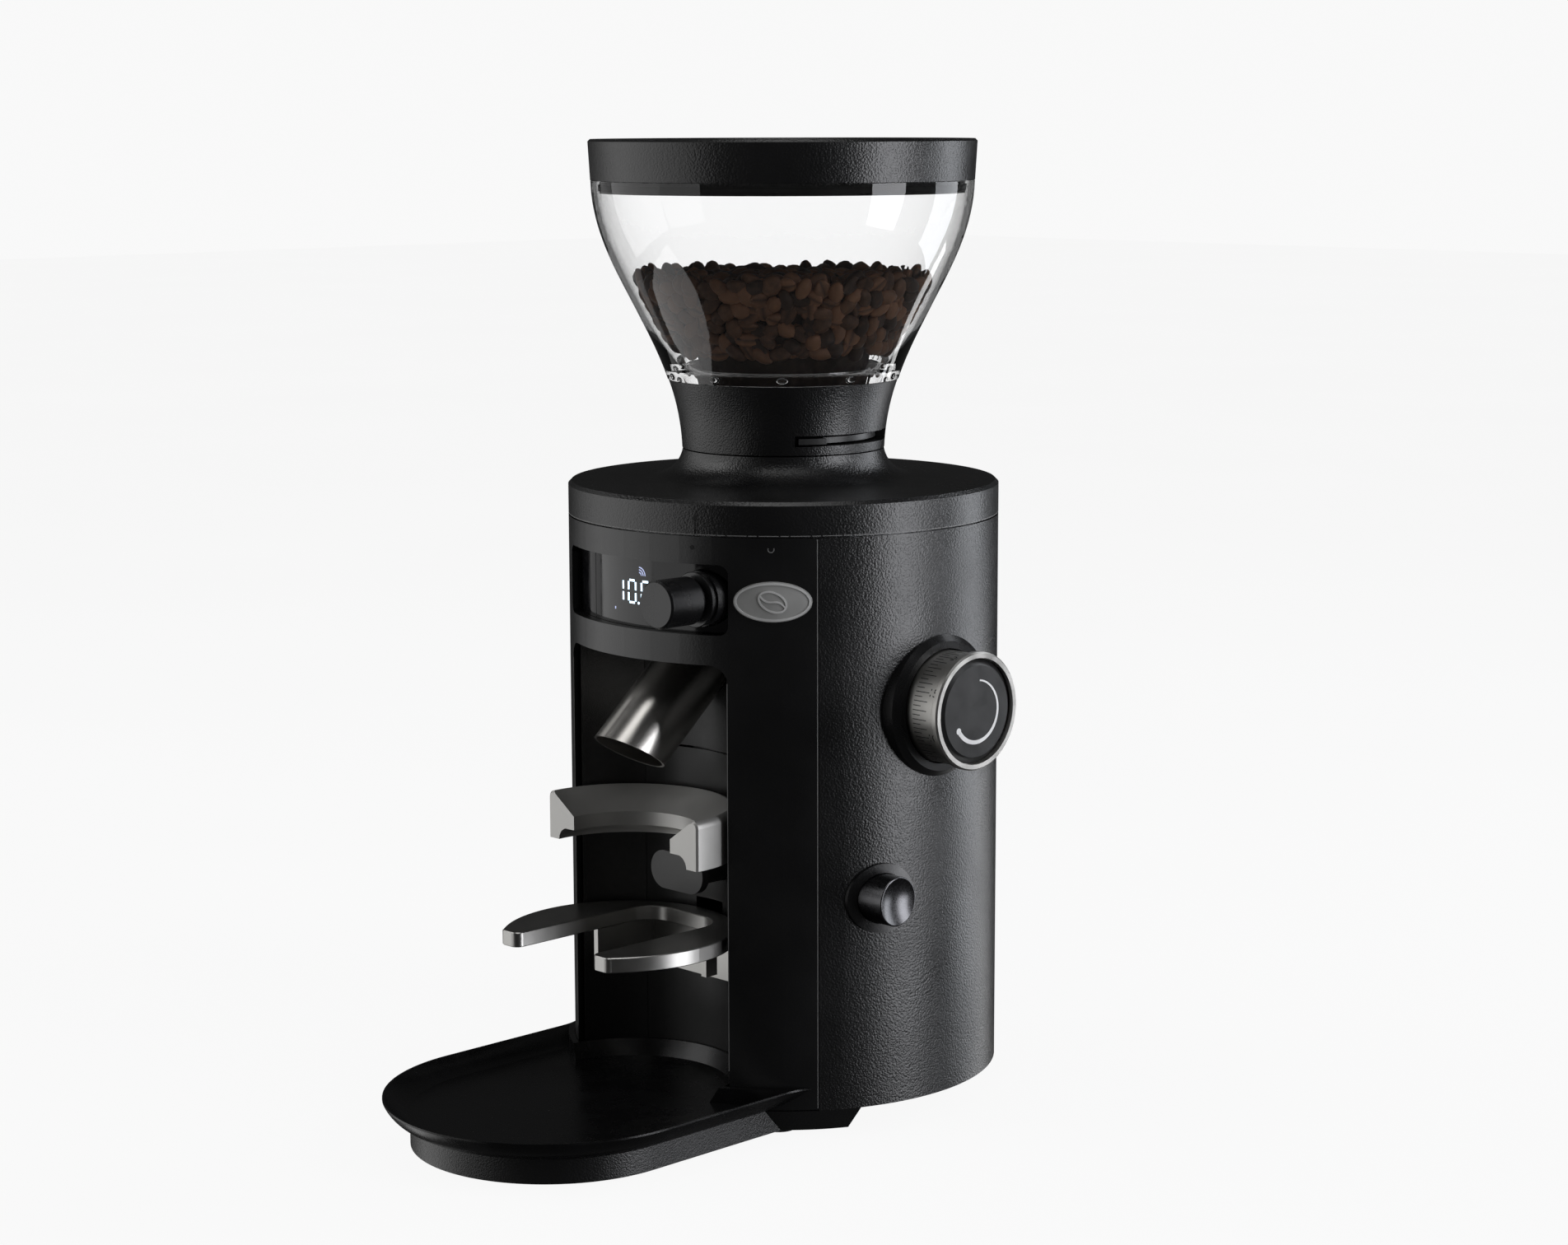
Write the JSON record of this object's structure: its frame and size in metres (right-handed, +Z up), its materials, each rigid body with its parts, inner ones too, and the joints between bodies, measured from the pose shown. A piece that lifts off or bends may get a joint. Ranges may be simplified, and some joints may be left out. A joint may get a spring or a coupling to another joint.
{
  "type": "burr coffee grinder",
  "caption": "Upright electric burr coffee grinder with a clear bean hopper, front dosing niche with fork and chute, side grind dial, display and drip tray.",
  "frame": {"origin": "on the table plane under the feet, on the axis of the round body", "axes": "+Z up along the body's axis; -Y is the front, where the niche and the tray are; the grind dial and the power button point along +X"},
  "size_m": [0.211, 0.3052, 0.422],
  "materials": {
    "powder_black": "fine pebbled black powder coat",
    "panel_black": "fine pebbled black plastic, like the housing",
    "niche_black": "dark textured plastic",
    "insert_grey": "smooth dark grey plastic",
    "base_grey": "textured dark grey plastic",
    "rubber": "matt black rubber",
    "display_black": "glossy smoked window",
    "board_green": "solder mask",
    "control_black": "satin black",
    "badge_metal": "fine brushed grey",
    "dial_steel": "brushed round the axis",
    "cap_black": "satin black",
    "button_chrome": "dark polished dish",
    "chute_steel": "polished stainless tube",
    "ring_steel": "satin cast metal",
    "tray_black": "smooth satin black",
    "hopper_clear": "clear, polished",
    "neck_black": "satin black plastic",
    "beans": "roasted, slightly oily",
    "aluminium_cast": "cast",
    "steel": "machined",
    "burr_steel": "hardened and ground",
    "motor_iron": "laminated core",
    "gear_brass": "machined"
  },
  "bodies": {
    "root": {"body_housing": "powder_black", "front_panel": "panel_black", "niche_liner": "niche_black", "back_insert": "insert_grey", "base_plate": "base_grey", "front_foot": "base_grey", "tray_support": "base_grey", "rear_foot": "base_grey", "rubber_feet": "rubber", "bayonet_ring": "base_grey", "display_frame": "niche_black", "display_glass": "display_black", "control_board": "board_green", "encoder_body": "steel", "knob_base_ring": "control_black", "badge": "badge_metal", "dial_collar": "control_black", "power_button_collar": "control_black", "power_switch": "base_grey", "trigger_switch": "base_grey", "chute": "chute_steel", "portafilter_ring": "ring_steel", "motor_plate": "aluminium_cast", "frame_posts": "steel", "housing_screws": "steel", "motor_can": "steel", "motor_stator": "motor_iron", "motor_bearings": "steel", "power_board": "board_green", "power_inlet": "control_black", "grind_chamber": "aluminium_cast", "upper_burr": "burr_steel", "upper_burr_carrier": "aluminium_cast", "bean_throat": "niche_black"},
    "motor_rotor": {"motor_shaft": "steel", "rotor_core": "motor_iron", "cooling_fan": "control_black"},
    "lift": {"lift_sleeve": "gear_brass", "spindle_bearing": "steel"},
    "burr_spindle": {"lower_burr_carrier": "aluminium_cast", "lower_burr": "burr_steel", "lower_burr_screws": "steel"},
    "adjusting_gear": {"adjusting_ring": "gear_brass"},
    "grind_dial": {"dial_sleeve": "dial_steel", "dial_cap": "cap_black", "dial_shaft": "steel", "dial_pinion": "gear_brass"},
    "knob_stem": {"encoder_stem": "steel"},
    "knob": {"control_knob": "control_black"},
    "power_key": {"power_button": "button_chrome"},
    "trigger": {"trigger_paddle": "insert_grey"},
    "fork": {"portafilter_fork": "ring_steel"},
    "tray": {"drip_tray": "tray_black"},
    "cover": {"top_cover": "powder_black"},
    "hopper": {"hopper_neck": "neck_black", "hopper_bowl": "hopper_clear", "coffee_beans": "beans"},
    "shutter": {"shutter_disc": "insert_grey"},
    "lid": {"hopper_lid": "powder_black", "lid_seal": "rubber"}
  },
  "joints": [
    {"name": "motor_spin", "type": "hinge", "parent": "root", "child": "motor_rotor", "pos_m": [0, 0, 0.09], "axis": [0, 0, 1], "continuous": true},
    {"name": "burr_lift", "type": "slide", "parent": "root", "child": "lift", "axis": [0, 0, 1], "range_m": [-0.0007, 0.00052]},
    {"name": "burr_spin", "type": "hinge", "parent": "lift", "child": "burr_spindle", "pos_m": [0, 0, 0.2], "axis": [0, 0, 1], "continuous": true},
    {"name": "adjusting_turn", "type": "hinge", "parent": "root", "child": "adjusting_gear", "pos_m": [0, 0, 0.197], "axis": [0, 0, 1], "range_deg": [-48, 36]},
    {"name": "dial_turn", "type": "hinge", "parent": "root", "child": "grind_dial", "pos_m": [0.1, 0, 0.1837], "axis": [1, 0, 0], "range_deg": [-141, 189]},
    {"name": "knob_press", "type": "slide", "parent": "root", "child": "knob_stem", "axis": [0, 1, 0], "range_m": [0, 0.001], "stiffness_N_per_m": 1500, "springref_m": -0.0005},
    {"name": "knob_turn", "type": "hinge", "parent": "knob_stem", "child": "knob", "pos_m": [0.0365, -0.1, 0.2324], "axis": [0, -1, 0], "continuous": true},
    {"name": "power_press", "type": "slide", "parent": "root", "child": "power_key", "axis": [-1, 0, 0], "range_m": [0, 0.003], "stiffness_N_per_m": 500, "springref_m": -0.001},
    {"name": "trigger_press", "type": "slide", "parent": "root", "child": "trigger", "axis": [0, 1, 0], "range_m": [0, 0.0035], "stiffness_N_per_m": 500, "springref_m": -0.001},
    {"name": "fork_lift_off", "type": "slide", "parent": "root", "child": "fork", "axis": [0, 0, 1], "range_m": [0, 0.008]},
    {"name": "tray_pull_out", "type": "slide", "parent": "root", "child": "tray", "axis": [0, -1, 0], "range_m": [0, 0.06]},
    {"name": "cover_twist", "type": "hinge", "parent": "root", "child": "cover", "pos_m": [0, 0, 0.27], "axis": [0, 0, 1], "range_deg": [0, 20]},
    {"name": "hopper_lift_off", "type": "slide", "parent": "cover", "child": "hopper", "axis": [0, 0, 1], "range_m": [0, 0.03]},
    {"name": "shutter_turn", "type": "hinge", "parent": "hopper", "child": "shutter", "pos_m": [0, 0, 0.294], "axis": [0, 0, 1], "range_deg": [0, 62]},
    {"name": "lid_lift_off", "type": "slide", "parent": "hopper", "child": "lid", "axis": [0, 0, 1], "range_m": [0, 0.03]}
  ],
  "couplings": [
    {"joint": "burr_lift", "follows": "dial_turn", "m_per_rad": -0.00020835},
    {"joint": "adjusting_turn", "follows": "dial_turn", "ratio": -0.25},
    {"joint": "burr_spin", "follows": "motor_spin", "ratio": 1}
  ]
}
